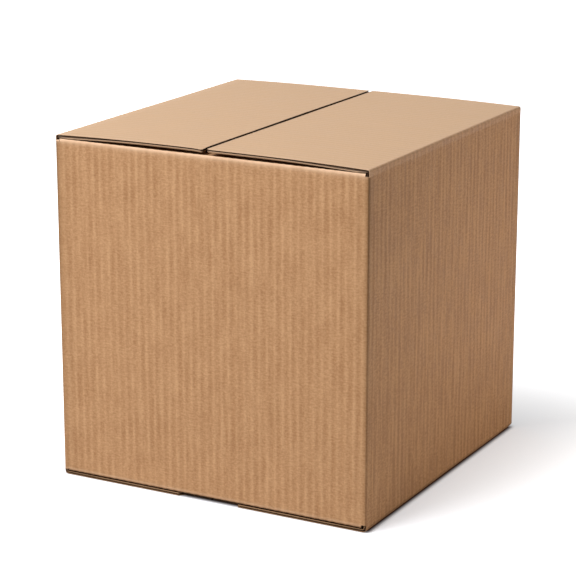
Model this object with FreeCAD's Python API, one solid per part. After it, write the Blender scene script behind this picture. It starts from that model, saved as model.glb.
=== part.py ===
import FreeCAD, Part
import math
import os

# A closed, untaped shipping carton folded from one sheet of corrugated board, in millimetres.
# +X is to the right, +Y to the back and +Z up. The origin is the centre of the underside.
# The outer flaps hinge on the left and right panels and meet at a seam that runs front to back.
# The inner flaps hinge on the front and back panels and lie under the outer ones.

# Room inside the closed carton
inside_width = 305.0
inside_depth = 317.0
inside_height = 305.0

# The board
board = 4.0
liner = 0.5
medium = 0.36
flute_pitch = 7.72
flute_tip_half = 0.8

# The folds
fold_round = 3.8
crushed_board = 2.0
crush_run = 3.6
layer_clearance = 0.3

# The flaps and the slots between them
top_seam_gap = 2.8
top_seam_shift = -3.0
bottom_seam_gap = 2.4
bottom_seam_shift = -2.0
inner_flap_gap = 16.0
inner_flap_inset = 4.7
outer_flap_setback = 1.2
flap_corner_round = 2.5
flap_spring_degrees = 0.7
edge_pocket = 2.4

# The cut-outs beside the bottom seam
relief_half_width = 31.0
relief_depth = 6.0
relief_slope_run = 5.0

# The maker's joint in the back left corner
tab_width = 36.0
tab_end_inset = 3.0
tab_end_slope = 9.0

# Outer size and the heights of the layers
outer_width = inside_width + 2 * board
outer_depth = inside_depth + 2 * board
floor_top = 2 * board
ceiling = floor_top + inside_height
inner_flap_top = ceiling + board
outer_flap_floor = inner_flap_top + layer_clearance
outer_height = outer_flap_floor + board
half_width = outer_width / 2
half_depth = outer_depth / 2

# Where the straight panels end and their folds start
panel_foot = board + fold_round
panel_head = inner_flap_top - fold_round

# The hinge line of each outer flap runs along the middle of the board
hinge_height = outer_height - board / 2
hinge_reach = half_width - board / 2

# A cutter runs this far past the face that it opens
overshoot = 1.0


def vector(x, y, z):
    return FreeCAD.Vector(x, y, z)


def block(low, high):
    """A box between two opposite corners."""
    size = [b - a for a, b in zip(low, high)]
    return Part.makeBox(size[0], size[1], size[2], vector(*low))


def prism(edges, travel):
    """The closed outline of the edges, moved along the travel into a solid."""
    outline = Part.Wire(Part.__sortEdges__(edges))
    return Part.Face(outline).extrude(travel)


def polygon(points):
    """Straight edges from each point to the next, and from the last to the first."""
    ends = points[1:] + points[:1]
    return [Part.LineSegment(a, b).toShape() for a, b in zip(points, ends)]


def mirrored(shape):
    """The shape's twin on the other side of the middle plane between left and right."""
    return shape.mirror(vector(0, 0, 0), vector(1, 0, 0))


def turned_round(shape):
    """The shape's twin on the other side of the middle plane between front and back."""
    return shape.mirror(vector(0, 0, 0), vector(0, 1, 0))


def rounded_block(low, high, radius, along, test):
    """A box whose edges along one axis are rounded where the test on their middle point holds."""
    plain = block(low, high)
    edges = []
    for edge in plain.Edges:
        direction = edge.tangentAt(edge.FirstParameter)
        if abs(direction.dot(along)) > 0.9 and test(edge.CenterOfMass):
            edges.append(edge)
    return plain.makeFillet(radius, edges)


def panel_ring():
    """The four upright panels between their top and bottom folds, with rounded corner folds."""
    outer = rounded_block(
        (-half_width, -half_depth, panel_foot),
        (half_width, half_depth, panel_head),
        fold_round,
        vector(0, 0, 1),
        lambda middle: True,
    )
    inner = block(
        (-half_width + board, -half_depth + board, panel_foot - overshoot),
        (half_width - board, half_depth - board, panel_head + overshoot),
    )
    return outer.cut(inner)


def front_and_back_band():
    """The front and back panels with the inner flaps that fold in from their ends."""
    reach = half_width - inner_flap_inset
    outer = rounded_block(
        (-reach, -half_depth, board),
        (reach, half_depth, inner_flap_top),
        fold_round,
        vector(1, 0, 0),
        lambda middle: True,
    )
    inner = block(
        (-half_width, -half_depth + board, floor_top),
        (half_width, half_depth - board, ceiling),
    )
    gap = block(
        (-half_width, -inner_flap_gap / 2, board - overshoot),
        (half_width, inner_flap_gap / 2, inner_flap_top + overshoot),
    )
    return outer.cut(inner).cut(gap)


def side_band():
    """The left and right panels with the glued outer flaps that fold in under the bottom."""
    reach = half_depth - outer_flap_setback
    outer = rounded_block(
        (-half_width, -reach, 0),
        (half_width, reach, inner_flap_top),
        fold_round,
        vector(0, 1, 0),
        lambda middle: middle.z < board,
    )
    inner = block(
        (-half_width + board, -half_depth, board),
        (half_width - board, half_depth, inner_flap_top + overshoot),
    )
    seam = block(
        (bottom_seam_shift - bottom_seam_gap / 2, -half_depth, -overshoot),
        (bottom_seam_shift + bottom_seam_gap / 2, half_depth, board + overshoot),
    )
    return outer.cut(inner).cut(seam)


def crushed_score():
    """What the score takes off the inner top edge of the right panel, where its flap folds."""
    inner_face = half_width - board
    triangle = polygon([
        vector(inner_face - overshoot, -half_depth, inner_flap_top - crush_run),
        vector(inner_face, -half_depth, inner_flap_top - crush_run),
        vector(half_width - crushed_board, -half_depth, inner_flap_top),
        vector(half_width - crushed_board, -half_depth, inner_flap_top + overshoot),
        vector(inner_face - overshoot, -half_depth, inner_flap_top + overshoot),
    ])
    wedge = prism(triangle, vector(0, outer_depth, 0))
    keep_clear = block(
        (half_width - inner_flap_inset, -half_depth, panel_head - board),
        (half_width, half_depth, inner_flap_top + overshoot),
    )
    return wedge.common(keep_clear)


def bottom_relief():
    """The cut-out in the front edges of the bottom outer flaps, on both sides of their seam."""
    front = -half_depth
    inner = front + outer_flap_setback + relief_depth
    middle = bottom_seam_shift
    outline = polygon([
        vector(middle - relief_half_width, front, -overshoot),
        vector(middle + relief_half_width, front, -overshoot),
        vector(middle + relief_half_width - relief_slope_run, inner, -overshoot),
        vector(middle - relief_half_width + relief_slope_run, inner, -overshoot),
    ])
    return prism(outline, vector(0, 0, board + overshoot))


def bottom_edge_slit():
    """The hollow between the liners along the front cut edge of the bottom outer flaps."""
    front = -half_depth + outer_flap_setback
    return block(
        (-half_width + board, front - overshoot, liner),
        (half_width - board, front + edge_pocket, board - liner),
    )


def joint_groove():
    """The groove between the round fold of the glued tab and the back panel's cut edge."""
    fold_line = half_depth - board
    square = block(
        (-half_width - overshoot, fold_line - fold_round, panel_foot),
        (-half_width + fold_round, fold_line, panel_head),
    )
    fold = Part.makeCylinder(
        fold_round,
        panel_head - panel_foot,
        vector(-half_width + fold_round, fold_line - fold_round, panel_foot),
    )
    return square.cut(fold)


def joint_cut_edge():
    """The square vertical edge of the back panel, where the blank ends."""
    edge = block(
        (-half_width, half_depth - board, panel_foot),
        (-half_width + board, half_depth, panel_head),
    )
    slit = block(
        (-half_width - overshoot, half_depth - board + liner, panel_foot + liner),
        (-half_width + edge_pocket, half_depth - liner, panel_head - liner),
    )
    return edge, slit


def glue_tab():
    """The tab on the left panel, glued to the inside of the back panel."""
    inner_face = -half_width + board
    low = floor_top + tab_end_inset
    high = ceiling - tab_end_inset
    back = half_depth - board
    outline = polygon([
        vector(inner_face, back, low),
        vector(inner_face + tab_width, back, low + tab_end_slope),
        vector(inner_face + tab_width, back, high - tab_end_slope),
        vector(inner_face, back, high),
    ])
    return prism(outline, vector(0, -board, 0))


def flute_pocket(centre, up, start, depth):
    """One hollow between the wave of the medium and a liner, in a cut across the flutes.

    The outline lies in the plane across X at the start. A pocket that is up has its wide side
    on the upper liner. Its depth runs along X and may be negative.
    """
    wide_half = flute_pitch / 2 - flute_tip_half - medium
    wide_level = board / 2 - liner
    tip_level = wide_level - (board - 2 * liner - medium)
    if not up:
        wide_level = -wide_level
        tip_level = -tip_level
    sides = polygon([
        vector(start, centre - wide_half, wide_level),
        vector(start, centre - flute_tip_half, tip_level),
        vector(start, centre + flute_tip_half, tip_level),
        vector(start, centre + wide_half, wide_level),
    ])
    return prism(sides, vector(depth, 0, 0))


def flute_pockets(start, depth, reach):
    """A row of pockets along Y, the upper and the lower ones half a pitch apart."""
    pockets = []
    last = math.floor(2 * (reach - flute_pitch / 2) / flute_pitch)
    for step in range(-last, last + 1):
        up = step % 2 == 0
        pockets.append(flute_pocket(step * flute_pitch / 2, up, start, depth))
    return Part.makeCompound(pockets)


def inner_flap_end_pockets():
    """The open flutes in the free edge of the front inner flap at the top."""
    free_edge = -inner_flap_gap / 2
    reach = half_width - inner_flap_inset
    row = flute_pockets(overshoot, -edge_pocket - overshoot, reach)
    row.rotate(vector(0, 0, 0), vector(0, 0, 1), 90)
    row.translate(vector(0, free_edge, inner_flap_top - board / 2))
    return row


def box_body():
    """The glued carton without the two flaps that open first."""
    edge, edge_slit = joint_cut_edge()
    sheet = panel_ring().multiFuse([
        front_and_back_band(),
        side_band(),
        edge,
    ])
    sheet = sheet.cut(joint_groove()).cut(edge_slit).fuse(glue_tab())
    score = crushed_score()
    relief = bottom_relief()
    slit = bottom_edge_slit()
    pockets = inner_flap_end_pockets()
    for cutter in (score, mirrored(score)):
        sheet = sheet.cut(cutter)
    for cutter in (relief, slit, pockets):
        sheet = sheet.cut(cutter).cut(turned_round(cutter))
    return sheet.removeSplitter()


def outer_flap(hinge_side, free_edge):
    """One top outer flap with its round hinge end, from the hinge side to its free edge.

    The flap is modelled on the right. A hinge side of 1 keeps it there, and -1 moves it left.
    """
    reach = half_depth - outer_flap_setback
    low = outer_height - board
    length_end = hinge_side * free_edge
    plate = rounded_block(
        (length_end, -reach, low),
        (hinge_reach, reach, outer_height),
        flap_corner_round,
        vector(0, 0, 1),
        lambda middle: middle.x < length_end + board,
    )
    round_end = Part.makeCylinder(
        board / 2,
        2 * reach,
        vector(hinge_reach, -reach, hinge_height),
        vector(0, 1, 0),
    )
    slit = block(
        (length_end - overshoot, -half_depth, low + liner),
        (hinge_reach, -reach + edge_pocket, outer_height - liner),
    )
    pockets = flute_pockets(length_end - overshoot, edge_pocket + overshoot, reach - edge_pocket)
    pockets.translate(vector(0, 0, hinge_height))
    flap = plate.fuse(round_end).cut(slit).cut(turned_round(slit)).cut(pockets)
    flap = flap.removeSplitter()
    # The crease springs back a little, so the free edge stands higher than the fold
    hinge_line = vector(hinge_reach, 0, hinge_height)
    flap.rotate(hinge_line, vector(0, 1, 0), flap_spring_degrees)
    if hinge_side < 0:
        flap = mirrored(flap)
    return flap


def sub_parts():
    """Every named piece of the carton."""
    left_edge = top_seam_shift - top_seam_gap / 2
    right_edge = top_seam_shift + top_seam_gap / 2
    return {
        "box_body": box_body(),
        "left_top_flap": outer_flap(-1, left_edge),
        "right_top_flap": outer_flap(1, right_edge),
    }


def main():
    os.makedirs("parts", exist_ok=True)
    for name, shape in sub_parts().items():
        shape.exportStep(f"parts/{name}.step")
        corners = shape.BoundBox
        print(name, "solids", len(shape.Solids), "valid", shape.isValid(),
              "volume", round(shape.Volume), "box", corners)


main()
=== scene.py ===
import enum
import logging
import math
from dataclasses import dataclass, field, fields, replace

import bpy
import numpy as np
from mathutils import Matrix, Vector


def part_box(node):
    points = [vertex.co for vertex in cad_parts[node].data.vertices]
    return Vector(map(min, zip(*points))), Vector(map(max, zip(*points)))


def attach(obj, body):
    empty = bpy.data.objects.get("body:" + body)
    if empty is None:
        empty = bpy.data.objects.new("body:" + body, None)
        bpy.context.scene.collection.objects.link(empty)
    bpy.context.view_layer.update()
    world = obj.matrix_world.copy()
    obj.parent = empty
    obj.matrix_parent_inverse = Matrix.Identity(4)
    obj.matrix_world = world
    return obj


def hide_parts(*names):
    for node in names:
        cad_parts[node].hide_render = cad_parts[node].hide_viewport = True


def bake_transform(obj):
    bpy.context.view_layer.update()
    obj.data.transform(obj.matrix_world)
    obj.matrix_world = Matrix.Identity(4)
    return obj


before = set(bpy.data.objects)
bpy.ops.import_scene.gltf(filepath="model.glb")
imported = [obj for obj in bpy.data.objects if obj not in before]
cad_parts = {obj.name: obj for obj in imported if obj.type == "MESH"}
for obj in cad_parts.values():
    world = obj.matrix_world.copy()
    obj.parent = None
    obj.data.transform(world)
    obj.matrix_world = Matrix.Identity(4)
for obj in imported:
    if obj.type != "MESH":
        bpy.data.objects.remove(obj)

LOG = logging.getLogger("carton")

Colour = tuple[float, float, float]
Span = tuple[float, float]

MM = 0.001

BODY = "box"
BODY_NODE = "box_body"

NEAREST_STATIONS = 0.05 * MM
SAG = 0.05 * MM
SHARP_EDGE = 38

# Slack for comparisons, and a place that lies beyond the start of any panel.
TINY = 1e-7
SMALL = 1e-6
OFF_PANEL = -1.0

# Dark colour of the specks, of the line along the vertical corner folds and of painted shade.
DARK_SPECK_AND_SHADE = (0.17, 0.088, 0.034)
WHITE = (1.0, 1.0, 1.0)
FLAP_SPECULAR = 0.22


class Layer(enum.Enum):
    """The three papers of single wall corrugated board."""

    OUTER_LINER = "outer_liner"
    FLUTING = "fluting"
    INNER_LINER = "inner_liner"


class Side(enum.Enum):
    """The side panels that carry a top outer flap, by the sign of their X."""

    LEFT = -1
    RIGHT = 1


@dataclass(frozen=True)
class Board:
    """Sizes of the corrugated board, in metres.

    The fluting of the flaps is only built as far in from their cut edges as it can be seen.
    """

    thickness: float = 4.0 * MM
    liner: float = 0.36 * MM
    medium: float = 0.30 * MM
    pitch: float = 7.68 * MM
    washboard: float = 0.16 * MM
    crushed: float = 1.9 * MM
    hinge_crushed: float = 3.2 * MM
    crush_run: float = 5.0 * MM
    edge_crush: float = 1.9 * MM
    edge_crush_run: float = 1.6 * MM
    seen_pitches: float = 1.4
    seen_length: float = 12.0 * MM


@dataclass(frozen=True)
class CartonSizes:
    """Sizes of the folded carton, in metres, from the frame and a few named values."""

    thickness: float
    half_width: float
    half_depth: float
    inner_flap_top: float
    fold_height: float
    seam_height: float
    left_seam_edge: float
    right_seam_edge: float
    outer_flap_half: float
    fold_radius: float = 2.3 * MM
    base_radius: float = 3.8 * MM
    least_arm: float = 0.05 * MM
    crown: float = 0.8 * MM
    crown_place: float = 0.7
    crown_reach: float = 2.2 * MM
    low_crown: float = 0.6 * MM
    low_crown_place: float = 0.75
    low_crown_reach: float = 1.3 * MM
    corner_radius: float = 1.6 * MM
    corner_fade: float = 4.0 * MM
    inner_flap_inset: float = 4.7 * MM
    inner_flap_gap_half: float = 8.0 * MM
    bottom_seam_shift: float = -2.0 * MM
    bottom_seam_gap: float = 2.4 * MM
    slot_rise: float = 0.3 * MM
    closed_slot_rise: float = 1.6 * MM
    left_slot_rise: float = 1.5 * MM
    low_slot_end: float = 0.5 * MM
    root_flare: float = 0.8 * MM
    root_run: float = 10.0 * MM
    root_start: Span = (-2.2 * MM, 1.4 * MM)
    root_end_share: float = 0.8
    root_end: Span = (1.5 * MM, 1.5 * MM)
    relief_half_width: float = 31.0 * MM
    relief_depth: float = 6.0 * MM
    relief_slope_run: float = 5.0 * MM
    relief_run: float = 30.0 * MM
    tab_width: float = 36.0 * MM
    tab_end_inset: float = 7.0 * MM

    @classmethod
    def from_frame(cls, board: Board) -> "CartonSizes":
        """Reads the sizes off the CAD nodes.

        Args:
            board: The board's own sizes.

        Returns:
            The carton's sizes.
        """
        body_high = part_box(BODY_NODE)[1]
        left_low, left_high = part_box("left_top_flap")
        right_low, right_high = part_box("right_top_flap")
        return cls(
            thickness=board.thickness,
            half_width=body_high[0],
            half_depth=body_high[1],
            inner_flap_top=body_high[2],
            fold_height=left_low[2] + board.thickness,
            seam_height=max(left_high[2], right_high[2]),
            left_seam_edge=left_high[0],
            right_seam_edge=right_low[0],
            outer_flap_half=left_high[1],
        )

    @property
    def quarter_fold(self) -> float:
        """Length of the outer liner round a quarter turn."""
        return self.fold_radius * math.pi / 2

    @property
    def base_fold(self) -> float:
        """Length of the outer liner round the folds of the bottom outer flaps."""
        return self.base_radius * math.pi / 2

    @property
    def half_corner(self) -> float:
        """Length of the outer liner round half of a vertical corner fold."""
        return self.corner_radius * math.pi / 4

    @property
    def slot_high(self) -> float:
        """Height at which the slots between the top flaps end."""
        return self.inner_flap_top - self.fold_radius

    @property
    def slot_low(self) -> float:
        """Height at which the slots between the bottom flaps end."""
        return self.thickness + self.fold_radius

    @property
    def base_lead(self) -> float:
        """How far below the slots' ends the folds of the bottom outer flaps start."""
        return self.thickness + self.fold_radius - self.base_radius

    @property
    def relief(self) -> float:
        """How far the cut-outs beside the bottom seam reach back from a flap's end."""
        return self.relief_half_width - self.bottom_seam_gap / 2


@dataclass(frozen=True)
class WearAndPaintedShade:
    """Painted shade, painted highlights and crushed edges: how strong each is and how far it
    reaches.

    A span is where a smooth step starts or ends, and its run.
    """

    # A darker line along each vertical corner fold, stronger towards the top.
    line_shift: float = 0.7 * MM
    line_width: float = 2.3 * MM
    line_low: float = 0.30
    line_climb: float = 0.62
    # Painted shade beside the vertical corner folds, darker towards the top.
    beside: float = 0.34
    beside_reach: float = 8.0 * MM
    beside_low: float = 0.4
    # Painted shade on the inner top flaps just past their folds, in the gap below the outer flaps,
    # left off by the seam.
    crease: float = 1.1
    crease_start: Span = (-0.5 * MM, 0.9 * MM)
    crease_end: Span = (7.0 * MM, 3.0 * MM)
    crease_break: Span = (3.0 * MM, 4.0 * MM)
    crease_break_place: float = -3.0 * MM
    # Painted shade on the bottom inner flaps near their folds, below the carton.
    under: float = 1.9
    under_start: Span = (1.2 * MM, 1.2 * MM)
    under_end: Span = (9.0 * MM, 2.0 * MM)
    # Painted shade on the bottom outer flaps' folds, which face the floor.
    underside: float = 0.5
    underside_start: Span = (-1.3 * MM, 1.3 * MM)
    underside_end: Span = (1.0 * MM, 1.5 * MM)
    # Painted highlights round the inner flaps' folds, at the top and at the bottom.
    pale_high_place: float = 0.8 * MM
    pale_high_reach: float = 3.0 * MM
    pale_low: float = 0.5
    pale_low_place: float = -1.6 * MM
    pale_low_reach: float = 0.9 * MM
    # Bottom flaps: how much edge paleness stays, and how much painted shade their cut edges take.
    low_edge: float = 0.15
    low_side: float = 0.7
    # Strength of the darkest painted shade, and how far in from the cut edges it reaches.
    black: float = 2.0
    black_depth: float = 20 * MM
    crushed: float = 0.75
    base_crushed_low: float = 0.2
    base_crushed_rise: float = 0.55
    base_crushed_start: Span = (6.0 * MM, 26.0 * MM)
    # Painted shade on the top flaps' edges along the seam, and by the open ends of their folds.
    seam: float = 1.3
    seam_reach: float = 0.45 * MM
    open_fold_reach: float = 4.0 * MM


@dataclass(frozen=True)
class Panel:
    """One upright panel of the blank and where it stands once it is folded.

    Distances along the panel run from left to right as seen from outside the carton.
    """

    name: str
    along: tuple[float, float]
    outward: tuple[float, float]
    distance: float
    first: float
    last: float
    opens_round: bool = True
    ends_round: bool = True
    flap_half: float = 0.0
    low_lead: float = 0.0
    high_lead: float = 0.0
    low_flap: float = 0.0
    high_flap: float = 0.0
    blank_offset: float = 0.0

    @property
    def has_inner_flaps(self) -> bool:
        """Whether its flaps are the inner ones."""
        return self.name in ("front", "back")

    @property
    def has_base_flap(self) -> bool:
        """Whether it has an outer flap at the bottom, which folds round the wider radius."""
        return self.low_lead > 0


def smoothstep(value: np.ndarray) -> np.ndarray:
    """Smooth step from 0 to 1 as the value goes from 0 to 1."""
    held = np.clip(value, 0.0, 1.0)
    return held * held * (3 - 2 * held)


def rise(value: np.ndarray, start: float, run: float) -> np.ndarray:
    """Smooth step up from 0 to 1 over the run past the start."""
    return smoothstep((value - start) / run)


def fall(value: np.ndarray, end: float, run: float) -> np.ndarray:
    """Smooth step down from 1 to 0 over the run before the end."""
    return smoothstep((end - value) / run)


def bell(distance: np.ndarray, reach: float) -> np.ndarray:
    """A smooth bump that is 1 at no distance."""
    return np.exp(-((distance / reach) ** 2))


def spread(start: float, end: float, step: float) -> list[float]:
    """Even stations from start to end.

    Args:
        start: First station.
        end: Last station.
        step: The longest distance between two stations.

    Returns:
        The stations, both ends included.
    """
    count = max(1, math.ceil(abs(end - start) / step - SMALL))
    return list(np.linspace(start, end, count + 1))


def merged(*groups: list[float]) -> np.ndarray:
    """Puts groups of stations in order and leaves out near doubles.

    Args:
        groups: Lists of stations.

    Returns:
        The stations, from the lowest to the highest.
    """
    stations = sorted(value for group in groups for value in group)
    kept = [stations[0]]
    for value in stations[1:]:
        if value - kept[-1] > NEAREST_STATIONS:
            kept.append(value)
    return np.array(kept)


@dataclass(frozen=True)
class Patch:
    """A grid of points on one panel of the flat blank and its flaps, which it can fold.

    Every grid is rows by columns. Heights are those of the upright panel, carried on past
    its folds.
    """

    sizes: CartonSizes
    board: Board
    panel: Panel
    across: np.ndarray
    along: np.ndarray

    @property
    def low(self) -> np.ndarray:
        """Distances below the ends of the bottom slots."""
        return self.sizes.slot_low - self.along

    @property
    def high(self) -> np.ndarray:
        """Distances above the ends of the top slots."""
        return self.along - self.sizes.slot_high

    @property
    def past_low(self) -> np.ndarray:
        """Distances past the start of the fold at the bottom."""
        return self.low - self.panel.low_lead

    @property
    def past_high(self) -> np.ndarray:
        """Distances past the start of the fold at the top."""
        return self.high - self.panel.high_lead

    @property
    def upright(self) -> np.ndarray:
        """Whether each point lies between the slots."""
        return (self.low <= 0) & (self.high <= 0)

    @property
    def from_edge(self) -> np.ndarray:
        """Distances across the flutes from the flaps' first cut edge."""
        return self.across + self.panel.flap_half

    @property
    def blank(self) -> np.ndarray:
        """Coordinates on the whole blank, two for each point."""
        return np.stack([self.across + self.panel.blank_offset, self.along], axis=-1)

    def unevenness(self) -> np.ndarray:
        """How far the board sinks below true flat, from a few long waves.

        Returns:
            Depths of 0 or more.
        """
        across, along = self.blank[..., 0], self.along
        waves = (
            np.sin(across / (41 * MM) + 0.7) * np.sin(along / (67 * MM) + 1.1)
            + 0.6 * np.sin(across / (23 * MM) + along / (59 * MM) + 2.0)
            + 0.4 * np.sin(along / (31 * MM) - across / (47 * MM))
        )
        return SAG * (2.0 + waves)

    def flute_wave(self) -> np.ndarray:
        """The fluting's wave, which is 1 where it lies deepest, as it does at the cut edge."""
        return 0.5 + 0.5 * np.cos(2 * math.pi * self.from_edge / self.board.pitch)

    def thickness(self) -> np.ndarray:
        """Thickness of the board, which the scores crush at every fold.

        Returns:
            The thickness at each point.
        """
        board, sizes, panel = self.board, self.sizes, self.panel
        run = board.crush_run
        near_side = np.zeros_like(self.across)
        for rounds, inset in (
            (panel.opens_round, self.across - panel.first),
            (panel.ends_round, panel.last - self.across),
        ):
            if rounds:
                near_side = np.maximum(near_side, smoothstep(1 - inset / run))
        near_side = np.where(self.upright, near_side, 0.0)
        near_fold = np.zeros_like(self.along)
        low_fold = sizes.base_fold if panel.has_base_flap else sizes.quarter_fold
        for past, length in ((self.past_high, sizes.quarter_fold), (self.past_low, low_fold)):
            outside = np.abs(past - length / 2) - length / 2
            near_fold = np.maximum(near_fold, smoothstep(1 - outside / run))
        folded = board.hinge_crushed if panel.name in ("left", "right") else board.crushed
        pressed = np.maximum(
            (board.thickness - board.crushed) * near_side, (board.thickness - folded) * near_fold
        )
        return board.thickness - pressed

    def depths(self, layer: Layer, worn: np.ndarray) -> tuple[np.ndarray, np.ndarray]:
        """Depths of a paper's two surfaces below the board's outer face.

        The wave of the fluting starts on the inner liner at the cut edge, so the cut shows a
        hollow above it.

        Args:
            layer: Which paper.
            worn: How crushed the board is by a cut edge, from 0 to 1.

        Returns:
            Depths of the upper and the lower surface.
        """
        board = self.board
        wave, sink = self.flute_wave(), self.unevenness()
        outer = board.washboard * wave * (1 - worn)
        inner = self.thickness() - board.washboard * (1 - wave) - board.edge_crush * worn
        if layer is Layer.OUTER_LINER:
            return sink + outer, sink + outer + board.liner
        if layer is Layer.INNER_LINER:
            return sink + inner - board.liner, sink + inner
        room = inner - outer - 2 * board.liner - board.medium
        top = sink + outer + board.liner + room * wave
        return top, top + board.medium

    def place(self, depth: np.ndarray) -> np.ndarray:
        """Where the points lie on the folded carton.

        Args:
            depth: Depths below the outer surface.

        Returns:
            Points, rows by columns by three.
        """
        sizes, panel = self.sizes, self.panel
        above, below = np.maximum(self.high, 0.0), np.maximum(self.low, 0.0)
        offset, height = -depth, self.along
        low_radius = sizes.base_radius if panel.has_base_flap else sizes.fold_radius
        for beyond, lead, sign, start, radius in (
            (above, panel.high_lead, 1.0, sizes.slot_high, sizes.fold_radius),
            (below, panel.low_lead, -1.0, sizes.slot_low, low_radius),
        ):
            past = beyond - lead
            angle = np.clip(past / radius, 0.0, math.pi / 2)
            flat = np.maximum(past - radius * math.pi / 2, 0.0)
            bent = past > 0
            turning = np.maximum(radius - depth, sizes.least_arm)
            arm = np.where(angle < math.pi / 2, turning, radius - depth)
            offset = np.where(bent, -radius + arm * np.cos(angle) - flat, offset)
            height = np.where(bent, start + sign * (lead + arm * np.sin(angle)), height)
        if panel.has_inner_flaps:
            past_high = above - sizes.crown_place * sizes.quarter_fold
            height = height + sizes.crown * bell(past_high, sizes.crown_reach)
            past_low = below - sizes.low_crown_place * sizes.quarter_fold
            height = height - sizes.low_crown * bell(past_low, sizes.low_crown_reach)
        turn_across, turn_offset = self.round_corner(depth)
        fade = smoothstep(1 - np.maximum(above, below) / sizes.corner_fade)
        run = self.across + fade * (turn_across - self.across)
        out = panel.distance + offset + fade * (turn_offset + depth)
        flat_point = [run * panel.along[i] + out * panel.outward[i] for i in (0, 1)]
        return np.stack([*flat_point, height], axis=-1)

    def round_corner(self, depth: np.ndarray) -> tuple[np.ndarray, np.ndarray]:
        """Bends the ends of the panel round its half of the corner folds.

        Args:
            depth: Depths below the outer surface.

        Returns:
            Distances along the panel and outward offsets from its outer face.
        """
        panel, radius = self.panel, self.sizes.corner_radius
        arm = np.maximum(radius - depth, self.sizes.least_arm)
        run, offset = self.across, -depth
        for rounds, start, sign in (
            (panel.ends_round, panel.last, 1.0),
            (panel.opens_round, panel.first, -1.0),
        ):
            if rounds:
                angle = np.maximum(sign * (self.across - start), 0.0) / radius
                bent = angle > 0
                run = np.where(bent, start + sign * arm * np.sin(angle), run)
                offset = np.where(bent, -radius + arm * np.cos(angle), offset)
        return run, offset


def added(name: str, data: bpy.types.ID) -> bpy.types.Object:
    """Adds an object to the scene.

    Args:
        name: Its name.
        data: Its mesh, camera or lamp.

    Returns:
        The object.
    """
    item = bpy.data.objects.new(name, data)
    bpy.context.scene.collection.objects.link(item)
    return item


def shell_faces(kept: np.ndarray) -> np.ndarray:
    """Faces of a closed shell over the kept cells of a grid of points in two layers.

    Args:
        kept: For each cell of the grid, whether it is board.

    Returns:
        Corner numbers, four a face. The lower layer's points follow the upper layer's.
    """
    rows, columns = kept.shape
    width = columns + 1
    below = (rows + 1) * width
    corner = np.arange(below).reshape(rows + 1, width)
    a, b = corner[:-1, :-1], corner[:-1, 1:]
    c, d = corner[1:, 1:], corner[1:, :-1]
    padded = np.zeros((rows + 2, columns + 2), bool)
    padded[1:-1, 1:-1] = kept

    def quads(mask: np.ndarray, *corners: np.ndarray) -> np.ndarray:
        """The four corners of each cell in the mask, one face a line."""
        return np.stack([each[mask] for each in corners], axis=-1)

    faces = [
        quads(kept, a, b, c, d),
        quads(kept, d + below, c + below, b + below, a + below),
        quads(kept & ~padded[:-2, 1:-1], b, a, a + below, b + below),
        quads(kept & ~padded[2:, 1:-1], d, c, c + below, d + below),
        quads(kept & ~padded[1:-1, :-2], a, d, d + below, a + below),
        quads(kept & ~padded[1:-1, 2:], c, b, b + below, c + below),
    ]
    return np.concatenate(faces)


@dataclass
class Paper:
    """One paper of the board on a grid: its two surfaces and what its material reads.

    The panel grid is 0 on a top flap, 2 on the left and right sides and 1 on all else.
    """

    name: str
    upper: np.ndarray
    lower: np.ndarray
    kept: np.ndarray
    blank: np.ndarray
    score: np.ndarray
    edge: np.ndarray
    flute: np.ndarray
    fold: np.ndarray
    panel: np.ndarray

    @classmethod
    def joined(cls, name: str, strips: "list[Paper]") -> "Paper":
        """Joins papers that lie side by side on the blank.

        Args:
            name: Name of the whole paper.
            strips: The papers from left to right.

        Returns:
            The whole paper.
        """
        grids = [item.name for item in fields(cls) if item.name != "name"]
        return cls(
            name,
            **{
                grid: np.concatenate([getattr(strip, grid) for strip in strips], axis=1)
                for grid in grids
            },
        )

    def build(self, material: bpy.types.Material) -> bpy.types.Object:
        """Makes the closed mesh of the paper.

        Args:
            material: Its finish.

        Returns:
            The new object, with smooth faces and sharp cut edges.
        """
        faces = shell_faces(self.kept)
        points = np.concatenate([self.upper.reshape(-1, 3), self.lower.reshape(-1, 3)])
        used, faces = np.unique(faces, return_inverse=True)
        faces = faces.reshape(-1, 4)
        points = points[used]
        mesh = bpy.data.meshes.new(self.name)
        mesh.from_pydata(points.tolist(), [], faces.tolist())
        blank = np.concatenate([self.blank.reshape(-1, 2)] * 2)[used]
        layer = mesh.uv_layers.new(name="blank")
        corners = np.empty(len(mesh.loops), np.int32)
        mesh.loops.foreach_get("vertex_index", corners)
        layer.data.foreach_set("uv", blank[corners].astype(np.float32).ravel())
        for name in ("score", "edge", "flute", "fold", "panel"):
            values = getattr(self, name)
            both = np.concatenate([values.ravel(), values.ravel()])[used]
            attribute = mesh.attributes.new(name, "FLOAT", "POINT")
            attribute.data.foreach_set("value", both.astype(np.float32))
        mesh.shade_smooth()
        mesh.set_sharp_from_angle(angle=math.radians(SHARP_EDGE))
        mesh.materials.append(material)
        mesh.update()
        piece = added(self.name, mesh)
        LOG.info("%s: %d points, %d faces", self.name, len(points), len(faces))
        return piece


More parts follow.
